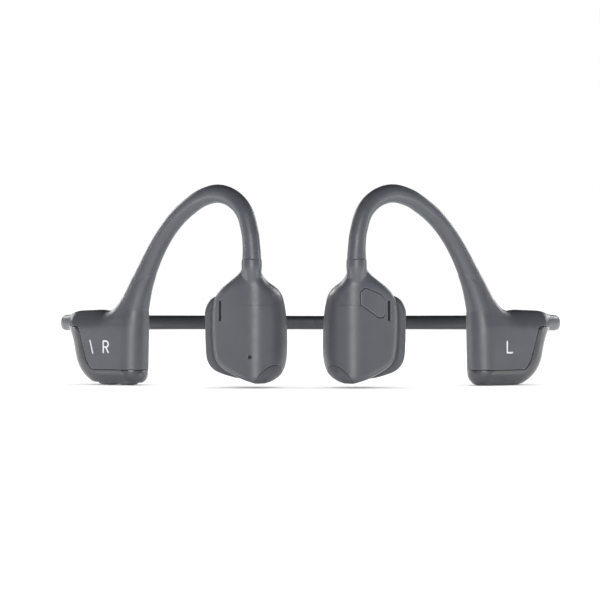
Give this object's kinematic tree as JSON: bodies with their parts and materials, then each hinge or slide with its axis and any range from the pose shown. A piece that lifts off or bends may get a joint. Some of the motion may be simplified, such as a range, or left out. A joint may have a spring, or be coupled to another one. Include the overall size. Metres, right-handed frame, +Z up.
{
  "type": "bone conduction headphones",
  "caption": "Open-ear bone conduction headphones: sprung neckband, ear hooks, rear housings and speaker pods that rest on the cheekbones.",
  "frame": {"origin": "centre of the bounding box, at the height of the surface it stands on", "axes": "+X to the wearer's left, -Y the way the wearer faces, +Z up"},
  "size_m": [0.1268, 0.0972, 0.0489],
  "materials": {
    "soft_touch_grey": "soft-touch silicone skin, fine matt grain",
    "button_grey": "soft-touch silicone, slightly smoother",
    "trim_grey": "satin to glossy moulded plastic",
    "band_silicone": "matt dark silicone",
    "pad_silicone": "matt silicone",
    "pad_surround": "matt black silicone",
    "vent_mesh": "fine woven mesh",
    "spring_wire": "drawn springy metal wire",
    "steel": "plated pressed metal",
    "magnet": "nickel-plated magnet",
    "copper": "enamelled copper winding",
    "cable_jacket": "soft cable jacket",
    "frame_plastic": "matt dark moulded plastic",
    "board": "green solder mask",
    "cell": "foil pouch",
    "diaphragm": "thin film",
    "light_guide": "frosted clear plastic",
    "side_letter": "pale printed ink"
  },
  "bodies": {
    "neckband": {"neckband_sleeve": "band_silicone", "neckband_core_wire": "spring_wire"},
    "left_arm": {"left_band_end_sleeve": "band_silicone", "left_band_end_wire": "spring_wire", "left_housing_shell": "soft_touch_grey", "left_housing_trim": "trim_grey", "left_ear_hook": "soft_touch_grey", "left_hook_wire": "spring_wire", "left_hook_cable": "cable_jacket", "left_pod_shell": "soft_touch_grey", "left_pod_corner_cap": "frame_plastic", "left_vent_mesh": "vent_mesh", "left_pod_back_plate": "frame_plastic", "left_speaker_driver": "steel", "left_speaker_diaphragm": "diaphragm", "left_transducer_yoke": "steel", "left_transducer_magnet": "magnet", "left_transducer_spring": "steel", "left_pad_surround": "pad_surround", "left_battery_cell": "cell", "left_battery_board": "board", "left_button_switch": "steel"},
    "right_arm": {"right_band_end_sleeve": "band_silicone", "right_band_end_wire": "spring_wire", "right_housing_shell": "soft_touch_grey", "right_housing_trim": "trim_grey", "right_ear_hook": "soft_touch_grey", "right_hook_wire": "spring_wire", "right_hook_cable": "cable_jacket", "right_pod_shell": "soft_touch_grey", "right_pod_corner_cap": "frame_plastic", "right_vent_mesh": "vent_mesh", "right_pod_back_plate": "frame_plastic", "right_speaker_driver": "steel", "right_speaker_diaphragm": "diaphragm", "right_transducer_yoke": "steel", "right_transducer_magnet": "magnet", "right_transducer_spring": "steel", "right_pad_surround": "pad_surround", "right_main_board": "board", "right_usb_c_socket": "steel", "right_led_light_guide": "light_guide", "right_microphone": "steel", "right_volume_up_switch": "steel", "right_volume_down_switch": "steel"},
    "left_transducer": {"left_voice_coil": "copper", "left_drive_plate": "frame_plastic", "left_bone_pad": "pad_silicone"},
    "right_transducer": {"right_voice_coil": "copper", "right_drive_plate": "frame_plastic", "right_bone_pad": "pad_silicone"},
    "multifunction_button": {"multifunction_button": "button_grey"},
    "volume_up_button": {"volume_up_button": "button_grey"},
    "volume_down_button": {"volume_down_button": "button_grey"}
  },
  "joints": [
    {"name": "left_arm_flex", "type": "hinge", "parent": "neckband", "child": "left_arm", "pos_m": [0.04471, 0.03244, 0.015], "axis": [0, 0, 1], "range_deg": [0, 42], "stiffness_Nm_per_rad": 0.1},
    {"name": "right_arm_flex", "type": "hinge", "parent": "neckband", "child": "right_arm", "pos_m": [-0.04471, 0.03244, 0.015], "axis": [0, 0, -1], "range_deg": [0, 42], "stiffness_Nm_per_rad": 0.1},
    {"name": "left_transducer_stroke", "type": "slide", "parent": "left_arm", "child": "left_transducer", "axis": [0.1392, 0.9903, 0], "range_m": [-0.00015, 0.00015], "stiffness_N_per_m": 2000},
    {"name": "right_transducer_stroke", "type": "slide", "parent": "right_arm", "child": "right_transducer", "axis": [-0.1392, 0.9903, 0], "range_m": [-0.00015, 0.00015], "stiffness_N_per_m": 2000},
    {"name": "multifunction_button_press", "type": "slide", "parent": "left_arm", "child": "multifunction_button", "axis": [-0.5248, 0.8512, 0], "range_m": [0, 0.00035], "stiffness_N_per_m": 1500},
    {"name": "volume_up_press", "type": "slide", "parent": "right_arm", "child": "volume_up_button", "axis": [0, 0, 1], "range_m": [0, 0.00035], "stiffness_N_per_m": 1500},
    {"name": "volume_down_press", "type": "slide", "parent": "right_arm", "child": "volume_down_button", "axis": [0, 0, 1], "range_m": [0, 0.00035], "stiffness_N_per_m": 1500}
  ]
}
